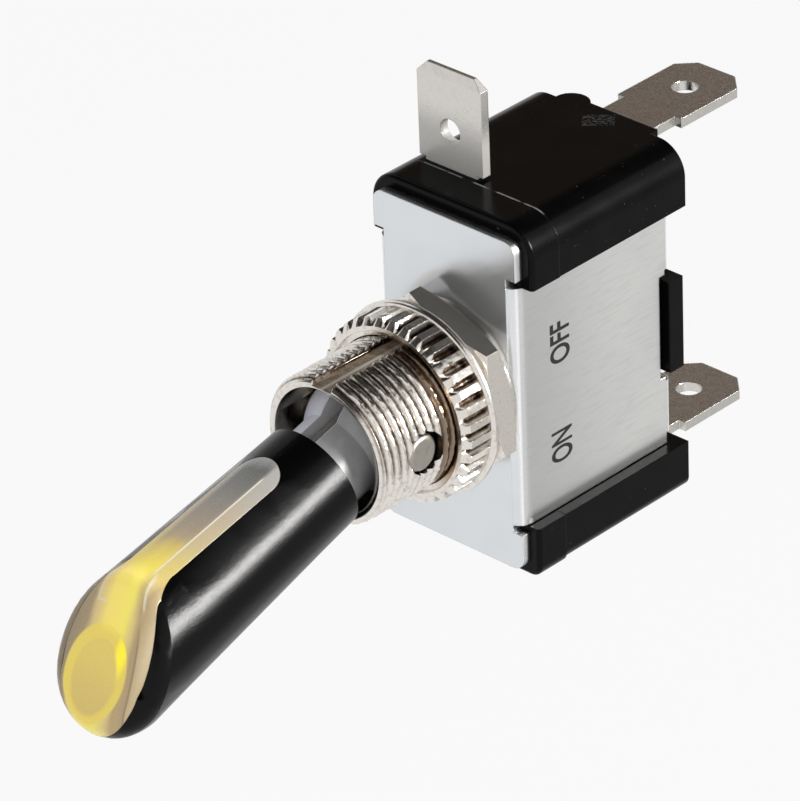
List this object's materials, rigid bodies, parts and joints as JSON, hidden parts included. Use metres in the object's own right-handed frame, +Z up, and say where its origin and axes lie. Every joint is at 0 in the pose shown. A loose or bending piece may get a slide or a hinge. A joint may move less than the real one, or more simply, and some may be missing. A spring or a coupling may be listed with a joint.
{
  "type": "panel toggle switch",
  "caption": "Panel toggle switch with a threaded bushing, dress nut, lit lever tip, steel bracket and push-on tabs.",
  "frame": {"origin": "on the bushing's axis, at the outer face of the bracket's front plate", "axes": "+X right as seen from the front, +Y backwards into the panel, +Z up along the housing's long side; the bushing and lever point to -Y"},
  "size_m": [0.016, 0.069, 0.0377],
  "materials": {
    "zinc_steel": "zinc plated sheet",
    "black_housing": "satin moulded thermoset",
    "nickel": "bright nickel plating on brass",
    "steel_pin": "ground steel",
    "tinned_brass": "tin plated",
    "contact_brass": "plain",
    "contact_silver": "silver alloy",
    "grey_core": "satin moulded",
    "black_sleeve": "semi-gloss with fine grain",
    "frosted_lens": "frosted clear",
    "amber_led": "clear amber resin",
    "spring_steel": "drawn wire",
    "white_nylon": "nylon",
    "resistor_body": "lacquered"
  },
  "bodies": {
    "root": {"frame": "zinc_steel", "base": "black_housing", "front_cover": "black_housing", "bushing": "nickel", "pivot_pin": "steel_pin", "upper_terminal": "tinned_brass", "lower_terminal": "tinned_brass", "led_terminal": "tinned_brass", "upper_contact": "contact_silver", "lower_stop": "contact_brass", "saddle": "contact_brass", "resistor": "resistor_body"},
    "hex_nut": {"hex_nut": "nickel"},
    "knurled_nut": {"knurled_nut": "nickel"},
    "lever": {"lever_core": "grey_core", "lever_sleeve": "black_sleeve", "lens": "frosted_lens", "led": "amber_led", "led_lead_a": "tinned_brass", "led_lead_b": "tinned_brass", "plunger_spring": "spring_steel"},
    "plunger": {"plunger": "white_nylon"},
    "rocker": {"rocker": "contact_brass", "rocker_contact": "contact_silver"}
  },
  "joints": [
    {"name": "lever_throw", "type": "hinge", "parent": "root", "child": "lever", "pos_m": [0, -0.0089, 0], "axis": [-1, 0, 0], "range_deg": [0, 30.4]},
    {"name": "plunger_slide", "type": "slide", "parent": "lever", "child": "plunger", "axis": [0, 0.965, 0.2622], "range_m": [-0.001, 0], "stiffness_N_per_m": 500, "springref_m": 0.002, "deforming": ["plunger_spring"]},
    {"name": "rocker_tilt", "type": "hinge", "parent": "root", "child": "rocker", "pos_m": [0, 0.01168, 0], "axis": [1, 0, 0], "range_deg": [0, 11]},
    {"name": "hex_nut_turn", "type": "hinge", "parent": "root", "child": "hex_nut", "pos_m": [0, -0.0016, 0], "axis": [0, 1, 0], "continuous": true},
    {"name": "knurled_nut_turn", "type": "hinge", "parent": "root", "child": "knurled_nut", "pos_m": [0, -0.0044, 0], "axis": [0, 1, 0], "continuous": true}
  ],
  "couplings": [
    {"joint": "rocker_tilt", "follows": "lever_throw", "ratio": 0.3618}
  ]
}
